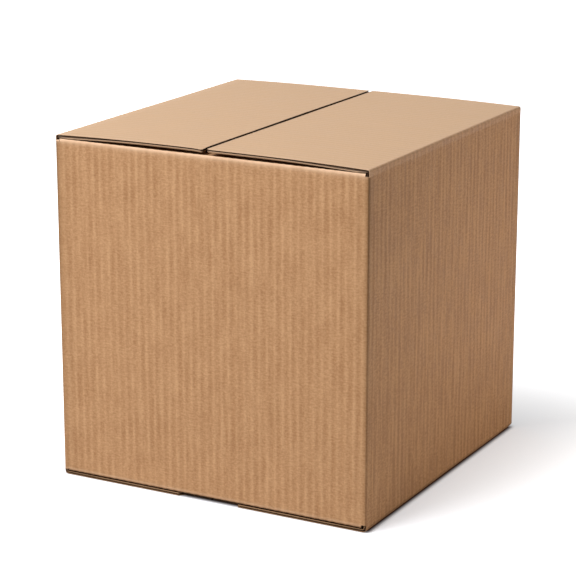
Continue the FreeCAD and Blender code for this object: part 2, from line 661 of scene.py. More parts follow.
class Socket:
    """A shader socket or number on which Python's operators add Math nodes."""

    def __init__(self, tree: "Shader", value: "bpy.types.NodeSocket | float") -> None:
        """Keeps the node tree and the socket or number."""
        self.tree = tree
        self.value = value

    def _math(self, operation: str, *others: "Socket | float") -> "Socket":
        """Adds one Math node on this value and the others."""
        values = [self, *others]
        return self.tree.node("ShaderNodeMath", {"operation": operation}, dict(enumerate(values)))

    def __add__(self, other: "Socket | float") -> "Socket":
        """Sum."""
        return self._math("ADD", other)

    def __radd__(self, other: float) -> "Socket":
        """Sum with a number on the left."""
        return self._math("ADD", other)

    def __sub__(self, other: "Socket | float") -> "Socket":
        """Difference."""
        return self._math("SUBTRACT", other)

    def __rsub__(self, other: float) -> "Socket":
        """A number less this value."""
        return Socket(self.tree, other)._math("SUBTRACT", self)

    def __mul__(self, other: "Socket | float") -> "Socket":
        """Product."""
        return self._math("MULTIPLY", other)

    def __rmul__(self, other: float) -> "Socket":
        """Product with a number on the left."""
        return self._math("MULTIPLY", other)

    def __pow__(self, other: float) -> "Socket":
        """Power."""
        return self._math("POWER", other)

    def size(self) -> "Socket":
        """The value without its sign."""
        return self._math("ABSOLUTE")

    def larger(self, other: "Socket | float") -> "Socket":
        """The larger of the two values."""
        return self._math("MAXIMUM", other)

    def held(self) -> "Socket":
        """The value held between 0 and 1."""
        return self._math("MAXIMUM", 0.0)._math("MINIMUM", 1.0)

    def step(self, low: float, high: float) -> "Socket":
        """Smooth step from 0 at low to 1 at high.

        Args:
            low: Value that gives 0.
            high: Value that gives 1.

        Returns:
            The stepped value.
        """
        settings = {"interpolation_type": "SMOOTHSTEP"}
        return self.tree.node("ShaderNodeMapRange", settings, {0: self, 1: low, 2: high})


class Shader:
    """A node tree, with one method that adds any node."""

    def __init__(self, nodes: bpy.types.Nodes, links: bpy.types.NodeLinks) -> None:
        """Keeps the tree's nodes and links."""
        self.nodes = nodes
        self.links = links

    @classmethod
    def of(cls, tree: bpy.types.NodeTree) -> "Shader":
        """The emptied tree."""
        tree.nodes.clear()
        return cls(tree.nodes, tree.links)

    @classmethod
    def material(cls, name: str) -> "tuple[bpy.types.Material, Shader]":
        """Starts a material.

        Args:
            name: Its name.

        Returns:
            The material and its emptied tree.
        """
        material = bpy.data.materials.new(name)
        material.use_nodes = True
        return material, cls.of(material.node_tree)

    def node(
        self,
        kind: str,
        settings: dict[str, object] | None = None,
        inputs: dict[int | str, object] | None = None,
        output: int | str = 0,
    ) -> Socket:
        """Adds a node.

        Args:
            kind: The node's type.
            settings: Properties of the node, which are set first.
            inputs: Values or links by the number or name of the socket.
            output: Number or name of the output that is returned.

        Returns:
            The output socket.
        """
        made = self.nodes.new(kind)
        for name, value in (settings or {}).items():
            setattr(made, name, value)
        for key, value in (inputs or {}).items():
            inner = value.value if isinstance(value, Socket) else value
            if isinstance(inner, bpy.types.NodeSocket):
                self.links.new(inner, made.inputs[key])
            else:
                made.inputs[key].default_value = inner
        return Socket(self, made.outputs[output]) if made.outputs else Socket(self, 0.0)

    def attribute(self, name: str) -> Socket:
        """A float attribute of the mesh."""
        return self.node("ShaderNodeAttribute", {"attribute_name": name}, output="Fac")

    def seen_ray(self) -> Socket:
        """Tells rays that come from the camera, a mirror or a clear piece.

        Returns:
            1 for such a ray and 0 for any other.
        """
        rays = [
            self.node("ShaderNodeLightPath", output=name)
            for name in ("Is Camera Ray", "Is Glossy Ray", "Is Transmission Ray")
        ]
        return rays[0].larger(rays[1]).larger(rays[2])

    def blank_point(self, across: float, along: float) -> Socket:
        """The point on the flat blank, scaled each way.

        Args:
            across: Units a metre across the flutes.
            along: Units a metre along the flutes.

        Returns:
            The scaled point.
        """
        point = self.node("ShaderNodeUVMap", {"uv_map": "blank"})
        return self.node(
            "ShaderNodeVectorMath",
            {"operation": "MULTIPLY"},
            {0: point, 1: (across, along, 1.0)},
        )

    def noise(self, across: float, along: float, detail: float = 3.0, rough: float = 0.55) -> Socket:
        """Noise on the blank.

        Args:
            across: Features a metre across the flutes.
            along: Features a metre along the flutes.
            detail: Octaves.
            rough: How strong the finer octaves are.

        Returns:
            Values about a half.
        """
        return self.node(
            "ShaderNodeTexNoise",
            {"noise_dimensions": "2D"},
            {
                "Vector": self.blank_point(across, along),
                "Scale": 1.0,
                "Detail": detail,
                "Roughness": rough,
            },
        )

    def mix(self, factor: Socket, a: object, b: object) -> Socket:
        """Mixes two colours.

        Args:
            factor: Share of the second colour.
            a: First colour.
            b: Second colour.

        Returns:
            The mixed colour.
        """
        inputs = {0: factor, 6: a, 7: b}
        return self.node("ShaderNodeMix", {"data_type": "RGBA"}, inputs, output=2)


@dataclass(frozen=True)
class KraftFinish:
    """Brown kraft: pulp, fibres, specks, pale cut edges, painted shade and highlights, and flaps
    painted paler on top.
    """

    name: str
    light: Colour
    dark: Colour
    score_shade: Colour
    # Pale colour of the cut edges, partly a painted highlight, and of the painted fold highlights.
    edge_shade: Colour
    edge_share: float
    # Paler colours of the top flaps: painted light on the top.
    flap_light: Colour = (0.61, 0.396, 0.232)
    flap_dark: Colour = (0.49, 0.30, 0.166)
    # Colour of the darkest painted shade.
    black: Colour = (0.024, 0.006, 0.001)
    cloud_scale: Span = (60, 42)
    fibre_scale: Span = (150, 700)
    fleck_scale: Span = (420, 520)
    band_scale: Span = (230, 16)
    patch_scale: Span = (45, 22)
    patch_range: Span = (0.25, 0.7)
    speck_scale: Span = (850, 1200)
    speck_range: Span = (0.72, 0.80)
    # Where the painted shade in the fluting's hollows starts, by the flute wave.
    crest_range: Span = (0.0, 0.14)
    cloud: float = 0.7
    fibre: float = 0.9
    side_fibre: float = 0.4
    band: float = 0.7
    side_band: float = 1.1
    # How strongly each flute is painted lighter at its ridge and darker at its valley: painted shade
    # of the washboard.
    flute: float = 0.5
    mean_ridge: float = 0.37
    fleck: float = 1.3
    side_fleck: float = 0.5
    speck_share: float = 0.4
    score_share: float = 0.85
    crest_share: float = 0.0
    flap_calm: float = 0.4
    roughness: float = 0.5
    roughness_change: float = 0.12
    specular: float = 0.1
    bump: float = 0.3
    bump_distance: float = 0.12 * MM

    def material(self) -> bpy.types.Material:
        """Builds the node tree.

        Returns:
            The material.
        """
        material, tree = Shader.material(self.name)
        clouds = tree.noise(*self.cloud_scale, 4.0)
        fibres = tree.noise(*self.fibre_scale, 3.0, 0.6)
        flecks = tree.noise(*self.fleck_scale, 3.0, 0.65)
        bands = tree.noise(*self.band_scale, 3.0, 0.6)
        # Painted shade of the washboard: lighter at each flute's ridge, darker at its valley, on top
        # of the real relief.
        painted_ridge_shade = (1.0 - tree.attribute("flute")) ** 2.0
        patches = tree.noise(*self.patch_scale, 2.0).step(*self.patch_range)
        kind = tree.attribute("panel")
        side = (kind - 1.0).held()
        tone = (
            0.5
            + self.cloud * (clouds - 0.5)
            + (self.fibre + self.side_fibre * side) * (fibres - 0.5)
            + (self.band + self.side_band * side) * (bands - 0.5)
            + self.flute * ((painted_ridge_shade - self.mean_ridge) * (0.3 + 0.7 * patches))
            + (self.fleck + self.side_fleck * side) * (flecks - 0.5)
        )
        flat_tone = 0.5 + self.flap_calm * (tone - 0.5)
        panel = tree.mix(tone.held(), (*self.dark, 1.0), (*self.light, 1.0))
        # The top flaps take a paler, calmer tone; the paler colour is painted light on the top.
        flap = tree.mix(flat_tone.held(), (*self.flap_dark, 1.0), (*self.flap_light, 1.0))
        base = tree.mix(kind.held(), flap, panel)
        score_shade, edge_shade = (*self.score_shade, 1.0), (*self.edge_shade, 1.0)
        specks = tree.noise(*self.speck_scale, 1.0).step(*self.speck_range)
        base = tree.mix(specks * self.speck_share, base, score_shade)
        # Painted highlight round the folds, in the pale edge colour.
        fold = tree.attribute("fold").held()
        base = tree.mix(fold * (0.45 + 0.8 * clouds), base, edge_shade)
        # Painted shade in the fluting's hollows: dark except where it lies deepest, at the inner
        # liner.
        painted_hollow_shade = (1.0 - tree.attribute("flute")).step(*self.crest_range)
        base = tree.mix(painted_hollow_shade * self.crest_share, base, score_shade)
        # Darkening: the line along the vertical corner folds, and painted shade.
        score = tree.attribute("score")
        base = tree.mix(score.held() * self.score_share, base, score_shade)
        # Pale cut edges, partly a painted highlight.
        edge = tree.attribute("edge").held()
        base = tree.mix(edge * self.edge_share, base, edge_shade)
        # Above 1 the darkening goes on to the darkest painted shade.
        base = tree.mix((score - 1.0).held(), base, (*self.black, 1.0))
        height = fibres * 0.6 + flecks * 0.4
        relief = {"Strength": self.bump, "Distance": self.bump_distance, "Height": height}
        normal = tree.node("ShaderNodeBump", inputs=relief)
        looks = {
            "Base Color": base,
            "Roughness": self.roughness + self.roughness_change * (clouds - 0.5),
            "Specular IOR Level": self.specular,
            "Normal": normal,
        }
        surface = tree.node("ShaderNodeBsdfPrincipled", inputs=looks)
        tree.node("ShaderNodeOutputMaterial", inputs={"Surface": surface})
        return material


@dataclass
class CartonBody:
    """The glued carton without its two hinged flaps: one folded sheet in three papers."""

    sizes: CartonSizes
    board: Board
    wear: WearAndPaintedShade
    finishes: dict[Layer, bpy.types.Material]
    columns_per_flute: dict[Layer, int] = field(
        default_factory=lambda: {Layer.OUTER_LINER: 6, Layer.FLUTING: 10, Layer.INNER_LINER: 1}
    )
    plain_step: float = 24 * MM
    upright_step: float = 26 * MM
    flap_step: float = 45 * MM
    corner_step: float = 0.7 * MM

    def panels(self) -> list[Panel]:
        """Works out the glue tab and the four panels.

        Returns:
            The panels, in their order on the blank.
        """
        sizes = self.sizes
        radius = sizes.corner_radius
        wide, deep = sizes.half_width, sizes.half_depth
        back_edge = deep - sizes.thickness
        inner_flap = sizes.quarter_fold + deep - sizes.fold_radius - sizes.inner_flap_gap_half
        side_flap = sizes.base_lead + sizes.base_fold + wide - sizes.base_radius
        side_flap -= sizes.bottom_seam_gap / 2
        outer = {"flap_half": sizes.outer_flap_half, "low_lead": sizes.base_lead}
        inner = {
            "flap_half": wide - sizes.inner_flap_inset,
            "low_flap": inner_flap,
            "high_flap": inner_flap,
        }
        plain = [
            Panel("tab", (-1, 0), (0, 1), back_edge, wide - radius - sizes.tab_width,
                  wide - radius, opens_round=False),
            Panel("left", (0, -1), (-1, 0), wide, radius - back_edge, deep - radius,
                  low_flap=side_flap + sizes.bottom_seam_shift, **outer),
            Panel("front", (1, 0), (0, -1), deep, radius - wide, wide - radius, **inner),
            Panel("right", (0, 1), (1, 0), wide, radius - deep, deep - radius,
                  low_flap=side_flap - sizes.bottom_seam_shift, **outer),
            Panel("back", (-1, 0), (0, 1), deep, radius - wide, wide, ends_round=False, **inner),
        ]
        placed = []
        start = 0.0
        for panel in plain:
            opening = sizes.half_corner if panel.opens_round else 0.0
            ending = sizes.half_corner if panel.ends_round else 0.0
            offset = start + opening - panel.first
            placed.append(replace(panel, blank_offset=offset))
            start = offset + panel.last + ending
        return placed

    def rows(self) -> np.ndarray:
        """Blank heights of the grid's rows, with one at every fold, slot and flap end.

        Returns:
            The heights, from the lowest to the highest.
        """
        sizes = self.sizes
        slot_low, slot_high = sizes.slot_low, sizes.slot_high
        fold, lead = sizes.quarter_fold, sizes.base_lead
        upright = spread(slot_low, slot_high, self.upright_step)
        for inset in (2 * MM, 5 * MM, sizes.tab_end_inset):
            upright += [slot_low + inset, slot_high - inset]
        upright.append(slot_low + sizes.low_slot_end)
        arc = spread(0.0, fold, 0.8 * MM)
        flap_ends = sorted({panel.low_flap for panel in self.panels() if panel.low_flap > 0})
        low = arc + [lead + value for value in spread(0.0, sizes.base_fold, 0.9 * MM)]
        low += [lead - 0.7 * MM, lead - 1.4 * MM, sizes.closed_slot_rise]
        low += spread(sizes.base_fold + lead, flap_ends[0], self.flap_step)
        for end in flap_ends:
            low += [end, end - 1.0 * MM, end - 3.0 * MM]
        for end in flap_ends[1:]:
            low += [end - sizes.relief, end - sizes.relief + sizes.relief_slope_run]
        high_end = max(panel.high_flap for panel in self.panels())
        high = arc + spread(fold, fold + 7 * MM, 1.2 * MM)
        high += spread(fold + 7 * MM, high_end, self.flap_step)
        high += [sizes.slot_rise, sizes.left_slot_rise, high_end - 1.0 * MM, high_end - 3.0 * MM]
        return merged(
            upright, [slot_low - value for value in low], [slot_high + value for value in high]
        )

    def columns(self, panel: Panel, layer: Layer, first: bool) -> np.ndarray:
        """Stations along one panel.

        Args:
            panel: The panel.
            layer: The paper, which sets how fine the stations are.
            first: Whether the panel starts the blank.

        Returns:
            Distances along the panel. Without the first flag the first one is left out,
            because it is the last of the panel before.
        """
        half_fold = self.sizes.half_corner
        low = panel.first - (half_fold if panel.opens_round else 0.0)
        high = panel.last + (half_fold if panel.ends_round else 0.0)
        per_flute = self.columns_per_flute[layer]
        step = self.board.pitch / per_flute if per_flute > 1 else self.plain_step
        run = self.board.crush_run
        groups = [
            spread(panel.first, panel.last, step),
            spread(low, panel.first, self.corner_step),
            spread(panel.last, high, self.corner_step),
            [panel.first + run / 2, panel.first + run, panel.last - run / 2, panel.last - run],
        ]
        if panel.flap_half > 0:
            near = [panel.flap_half - inset * MM for inset in (0.0, 0.5, 1.2, 2.4)]
            groups += [near, [-value for value in near]]
        stations = merged(*groups)
        stations = stations[(stations >= low - TINY) & (stations <= high + TINY)]
        return stations if first else stations[1:]

    def strip(self, layer: Layer, patch: Patch, kept: np.ndarray) -> Paper:
        """Lays out and folds one panel of a paper with its flaps.

        Args:
            layer: Which paper.
            patch: The panel's points.
            kept: For each cell, whether it is board.

        Returns:
            The strip.
        """
        wear, panel = self.wear, patch.panel
        cut = replace(patch, across=self.trimmed(patch))
        from_side = np.abs(np.abs(cut.across) - panel.flap_half)
        from_end = np.abs(patch.low - panel.low_flap)
        if panel.high_flap > 0:
            from_end = np.minimum(from_end, np.abs(patch.high - panel.high_flap))
        gap = np.minimum(np.where(patch.upright, 1.0, from_side), from_end)
        worn = np.exp(-gap / self.board.edge_crush_run)
        softness = wear.crushed
        if panel.has_base_flap:
            grown = rise(patch.past_low, *wear.base_crushed_start)
            softness = wear.base_crushed_low + wear.base_crushed_rise * grown
        top, bottom = patch.depths(layer, worn * softness)
        shade = self.score(patch)
        # Painted shade on the bottom flaps' cut edges; on the inner liner of the bottom outer flaps
        # it is darkest, as in a hollow.
        hollow = wear.low_side * worn
        if layer is Layer.INNER_LINER and panel.has_base_flap:
            hollow = wear.black * rise(gap, 0.0, 0.4 * MM) * (gap < wear.black_depth)
        beneath = (patch.low > 0) & (gap == from_side)
        return Paper(
            panel.name,
            upper=cut.place(top),
            lower=cut.place(bottom),
            kept=kept,
            blank=patch.blank,
            score=np.where(beneath, np.maximum(shade, hollow), shade),
            # Pale cut edges, partly a painted highlight, kept faint on the bottom flaps.
            edge=np.where(patch.low > 0, wear.low_edge * worn, worn),
            flute=patch.flute_wave(),
            # Painted highlight round the inner flaps' folds.
            fold=self.fold(patch),
            panel=np.full_like(patch.along, 2.0 if panel.has_base_flap else 1.0),
        )

    def kept_cells(
        self, layer: Layer, panel: Panel, before: np.ndarray, after: np.ndarray, rows: np.ndarray
    ) -> np.ndarray:
        """Tells which cells of the grid are board: the panel and its flaps.

        Args:
            layer: Which paper.
            panel: The panel.
            before: Where each cell starts along the panel.
            after: Where it ends.
            rows: Blank heights.

        Returns:
            A flag for each cell. Of the fluting only what can be seen is kept.
        """
        sizes, board = self.sizes, self.board
        middle = (rows[:-1] + rows[1:])[:, None] / 2
        low, high = sizes.slot_low - middle, middle - sizes.slot_high
        on_flap = (before >= -panel.flap_half - SMALL) & (after <= panel.flap_half + SMALL)
        inside = (low < 0) & (high < 0)
        if panel.name == "tab":
            inside &= (low < -sizes.tab_end_inset) & (high < -sizes.tab_end_inset)
        flaps = ((low > 0) & (low < panel.low_flap)) | ((high > 0) & (high < panel.high_flap))
        low_rise, high_rise = self.slot_rises(panel, (before + after) / 2)
        cells = np.where(on_flap, inside, (low < low_rise) & (high < high_rise))
        if panel.flap_half <= 0:
            cells = np.repeat(inside, len(before), axis=1)
        cells |= flaps & on_flap
        if layer is Layer.FLUTING:
            from_sides = [np.abs(np.abs(end) - panel.flap_half) for end in (before, after)]
            from_ends = [np.abs(low - panel.low_flap), np.abs(high - panel.high_flap)]
            near_side = np.minimum(*from_sides) < board.seen_pitches * board.pitch
            cells &= flaps & (near_side | (np.minimum(*from_ends) < board.seen_length))
        return cells

    def papers(self, layer: Layer) -> Paper:
        """Lays out one paper of the whole blank and folds it.

        Args:
            layer: Which paper.

        Returns:
            The folded paper.
        """
        rows = self.rows()
        strips = []
        for panel in self.panels():
            columns = self.columns(panel, layer, not strips)
            before, after = columns[:-1], columns[1:]
            if strips:
                before, after = np.append(OFF_PANEL, before), columns
            kept = self.kept_cells(layer, panel, before, after, rows)
            patch = Patch(self.sizes, self.board, panel, *np.meshgrid(columns, rows))
            strips.append(self.strip(layer, patch, kept))
        return Paper.joined(f"carton_body_{layer.value}", strips)

    def slot_rises(self, panel: Panel, across: np.ndarray) -> tuple[np.ndarray, np.ndarray]:
        """How far the corners reach past the start of the folds, up to the ends of the slots.

        Args:
            panel: The panel.
            across: Distances along the panel.

        Returns:
            Lengths along the blank at the bottom and at the top, one for each column of cells.
        """
        sizes = self.sizes
        front_left = (panel.name == "front") & (across < 0) | (panel.name == "left") & (across > 0)
        low = np.where(front_left, sizes.closed_slot_rise, -sizes.low_slot_end)
        return low, np.where(front_left, sizes.left_slot_rise, sizes.slot_rise)

    def trimmed(self, patch: Patch) -> np.ndarray:
        """Widens the inner flaps' roots and cuts back the outer flaps beside the bottom seam.

        Args:
            patch: The points.

        Returns:
            Distances along the panel after the cut.
        """
        sizes, panel, across = self.sizes, patch.panel, patch.across
        if panel.name == "tab":
            return across
        inset = panel.flap_half - np.abs(across)
        if panel.has_inner_flaps:
            past = patch.high - sizes.root_end_share * sizes.quarter_fold
            root = rise(patch.high, *sizes.root_start) * fall(past, *sizes.root_end)
            near = np.clip(1 - inset / sizes.root_run, 0.0, 1.0) * (inset >= -TINY)
            return across + np.sign(across) * sizes.root_flare * root * near
        start = panel.low_flap - sizes.relief
        share = np.clip((patch.low - start) / sizes.relief_slope_run, 0.0, 1.0)
        share = np.where(patch.low > 0, share, 0.0)
        near = np.clip(1 - inset / sizes.relief_run, 0.0, 1.0)
        return across - np.sign(across) * sizes.relief_depth * share * near

    def score(self, patch: Patch) -> np.ndarray:
        """How dark each point is: a line along the vertical corner folds, and painted shade in folds
        and gaps.

        Args:
            patch: The points.

        Returns:
            Shares from 0 to 1, and up to 2 where the painted shade is darkest.
        """
        sizes, wear, panel = self.sizes, self.wear, patch.panel
        shift = wear.line_shift - patch.across
        nearest = np.full_like(patch.across, 1.0)
        if panel.ends_round:
            nearest = np.minimum(nearest, np.abs(panel.last + sizes.half_corner + shift))
        if panel.opens_round:
            nearest = np.minimum(nearest, np.abs(panel.first - sizes.half_corner + shift))
        # A darker line along each vertical corner fold, stronger towards the top.
        climb = np.clip(-patch.low / (sizes.slot_high - sizes.slot_low), 0.0, 1.0)
        line = bell(nearest, wear.line_width) * (wear.line_low + wear.line_climb * climb)
        # Painted shade beside the vertical corner folds, darker towards the top.
        beside = wear.beside * np.exp(-nearest / wear.beside_reach)
        beside = beside * (wear.beside_low + (1 - wear.beside_low) * climb)
        upright = np.where(patch.upright, np.maximum(line, beside), 0.0)
        # Painted shade on the bottom outer flaps' folds, which face the floor.
        if panel.has_base_flap:
            underside = rise(patch.past_low, *wear.underside_start)
            past = patch.past_low - sizes.base_fold
            return np.maximum(upright, wear.underside * underside * fall(past, *wear.underside_end))
        # Painted shade on the inner top flaps just past their folds, in the gap below the outer
        # flaps.
        past = patch.high - sizes.quarter_fold
        crease = rise(past, *wear.crease_start) * fall(past, *wear.crease_end)
        from_break = np.abs(patch.across - wear.crease_break_place)
        crease = crease * rise(from_break, *wear.crease_break)
        # Painted shade on the bottom inner flaps near their folds, below the carton.
        under = rise(patch.low, *wear.under_start) * fall(patch.low, *wear.under_end)
        return np.maximum(upright, np.maximum(wear.crease * crease, wear.under * under))

    def fold(self, patch: Patch) -> np.ndarray:
        """How strong the painted highlight is round the folds of the inner flaps.

        Args:
            patch: The points.

        Returns:
            Shares from 0 to 1.
        """
        if patch.panel.high_flap <= 0:
            return np.zeros_like(patch.along)
        wear, half = self.wear, self.sizes.quarter_fold / 2
        above = bell(patch.high - half - wear.pale_high_place, wear.pale_high_reach)
        below = bell(patch.low - half - wear.pale_low_place, wear.pale_low_reach)
        return above + wear.pale_low * below

    def build(self) -> list[bpy.types.Object]:
        """Builds the three papers and puts them in the place of the CAD node.

        Returns:
            The pieces.
        """
        pieces = []
        for layer in Layer:
            piece = self.papers(layer).build(self.finishes[layer])
            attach(piece, BODY)
            pieces.append(piece)
        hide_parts(BODY_NODE)
        return pieces


@dataclass
class TopFlap:
    """An outer flap at the top with its fold and the strip of side panel below it."""

    side: Side
    sizes: CartonSizes
    board: Board
    wear: WearAndPaintedShade
    finishes: dict[Layer, bpy.types.Material]
    blank_offset: float
    corner_round: float
    corner_draw: float = 8.0 * MM
    corner_droop: float = 0.0
    droop_reach: float = 7.0 * MM
    seam_setback: float = 0.0
    back_drop: float = 0.32
    fold_crushed: float = 0.25
    crush_length: float = 90 * MM
    columns_per_flute: int = 8

    @property
    def name(self) -> str:
        """The side's plain name."""
        return self.side.name.lower()

    def panel(self) -> Panel:
        """The side panel that carries the flap.

        Returns:
            The panel.
        """
        sizes = self.sizes
        sign = self.side.value
        seam = sizes.left_seam_edge if self.side is Side.LEFT else sizes.right_seam_edge
        lead = sizes.fold_height - sizes.fold_radius - sizes.slot_high
        reach = sizes.half_width - sizes.fold_radius + sign * -seam - self.seam_setback
        half = sizes.half_depth - sizes.corner_radius
        return Panel(
            self.name,
            along=(0, sign),
            outward=(sign, 0),
            distance=sizes.half_width,
            first=-half,
            last=half,
            flap_half=sizes.outer_flap_half,
            high_lead=lead,
            high_flap=lead + sizes.quarter_fold + reach,
            blank_offset=self.blank_offset,
        )

    def rows(self, panel: Panel) -> np.ndarray:
        """Blank heights from the slot's end to the seam.

        Args:
            panel: The side panel.

        Returns:
            The heights, from the lowest to the highest.
        """
        start = self.sizes.slot_high
        fold, end = start + panel.high_lead, start + panel.high_flap
        flat = fold + self.sizes.quarter_fold
        return merged(
            spread(start, fold, 1.1 * MM),
            spread(fold, flat, 0.75 * MM),
            spread(flat, end - 8 * MM, 11 * MM),
            spread(end - 8 * MM, end - 1.5 * MM, 2.2 * MM),
            spread(end - 1.5 * MM, end, 0.5 * MM),
        )

    def columns(self, panel: Panel) -> np.ndarray:
        """Stations along the flap's width, closer together at its cut edges.

        Args:
            panel: The side panel.

        Returns:
            Distances along the panel.
        """
        edge = panel.flap_half
        near = [edge - inset * MM for inset in (0.0, 0.4, 0.9, 1.6, 2.5)]
        even = spread(-edge, edge, self.board.pitch / self.columns_per_flute)
        return merged(even, near, [-value for value in near])

    def lift(self, patch: Patch, past_fold: np.ndarray, from_end: np.ndarray) -> np.ndarray:
        """How far the flap springs up past its fold, less at the back and at the seam's corner.

        Args:
            patch: The points.
            past_fold: Distances past the fold.
            from_end: Distances from the edge at the seam.

        Returns:
            Heights.
        """
        sizes, panel, reach = self.sizes, patch.panel, self.droop_reach
        length = panel.high_flap - panel.high_lead - sizes.quarter_fold
        share = np.clip(past_fold / length, 0.0, 1.0)
        height = (sizes.seam_height - sizes.fold_height) * (1 - (1 - share) ** 3)
        back = 0.5 + 0.5 * self.side.value * patch.across / panel.flap_half
        height = height * (1 - self.back_drop * np.clip(back, 0.0, 1.0))
        front_side = panel.flap_half + self.side.value * patch.across
        return height - self.corner_droop * bell(front_side, reach) * bell(from_end, reach)

    def score(
        self, layer: Layer, past_fold: np.ndarray, from_side: np.ndarray, from_end: np.ndarray
    ) -> np.ndarray:
        """Painted shade at the edge along the seam and at the open ends of the fold.

        Args:
            layer: Which paper.
            past_fold: Distances past the fold.
            from_side: Distances from the nearer side edge.
            from_end: Distances from the edge at the seam.

        Returns:
            Shares from 0 to 1, and up to 2 where the painted shade is darkest.
        """
        wear = self.wear
        # Painted shade along the seam's edge.
        seam = wear.seam * np.exp(-from_end / wear.seam_reach)
        if layer is Layer.OUTER_LINER:
            return seam
        # Painted darkest shade inside the open ends of the fold, on the inner papers.
        near = fall(past_fold, 1.5 * MM, 2.0 * MM) * np.exp(-from_side / wear.open_fold_reach)
        return np.maximum(seam, wear.black * near)

    def paper(self, layer: Layer) -> Paper:
        """Lays out and folds one paper of the flap.

        Args:
            layer: Which paper.

        Returns:
            The folded paper.
        """
        sizes, board, panel = self.sizes, self.board, self.panel()
        patch = Patch(sizes, board, panel, *np.meshgrid(self.columns(panel), self.rows(panel)))
        past_fold = patch.past_high - sizes.quarter_fold
        from_side = panel.flap_half - np.abs(patch.across)
        from_end = sizes.slot_high + panel.high_flap - patch.along
        radius = self.corner_round
        to_centre = np.clip(radius - from_side, 0, None)
        round_off = radius - np.sqrt(np.maximum(radius**2 - to_centre**2, 0))
        draw = np.clip(1 - from_end / self.corner_draw, 0.0, 1.0)
        cut = replace(patch, along=patch.along - round_off * draw)
        worn = np.exp(-np.minimum(from_side, from_end) / board.edge_crush_run)
        grown = rise(past_fold, 0.0, self.crush_length)
        softness = self.fold_crushed + (1 - self.fold_crushed) * grown
        lift = self.lift(patch, past_fold, from_end)[..., None] * (0.0, 0.0, 1.0)
        upper, lower = [
            cut.place(depth) + lift for depth in patch.depths(layer, worn * softness)
        ]
        kept = np.ones((patch.along.shape[0] - 1, patch.along.shape[1] - 1), bool)
        if layer is Layer.FLUTING:
            near_side = from_side[:1, :-1] < board.seen_pitches * board.pitch
            kept = near_side | (from_end[:-1, :1] < board.seen_length)
        return Paper(
            f"{self.name}_flap_{layer.value}",
            upper=upper,
            lower=lower,
            kept=kept,
            blank=patch.blank,
            # Painted shade at the seam and at the open ends of the fold.
            score=self.score(layer, past_fold, from_side, from_end),
            # Pale cut edges, partly a painted highlight.
            edge=np.exp(-from_side / board.edge_crush_run),
            flute=patch.flute_wave(),
            # Painted highlight along the middle of the fold.
            fold=0.3 * bell(past_fold + sizes.quarter_fold / 2, 2.0 * MM),
            # 0 on the flap, which takes the paler colour painted for the light on the top.
            panel=2 * smoothstep(-past_fold / sizes.quarter_fold),
        )

    def build(self) -> list[bpy.types.Object]:
        """Builds the flap's papers, which are shaped round their fold between the box and the flap.

        Returns:
            The pieces.
        """
        sizes = self.sizes
        sign = self.side.value
        radius = sizes.fold_radius
        start = Vector((sign * sizes.half_width, 0.0, sizes.fold_height - radius))
        end = Vector((sign * (sizes.half_width - radius), 0.0, sizes.fold_height))
        pieces = []
        for layer in Layer:
            piece = self.paper(layer).build(self.finishes[layer])
            f"{self.name}_flap"
            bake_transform(piece)
            pieces.append(piece)
        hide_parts(f"{self.name}_top_flap")
        return pieces


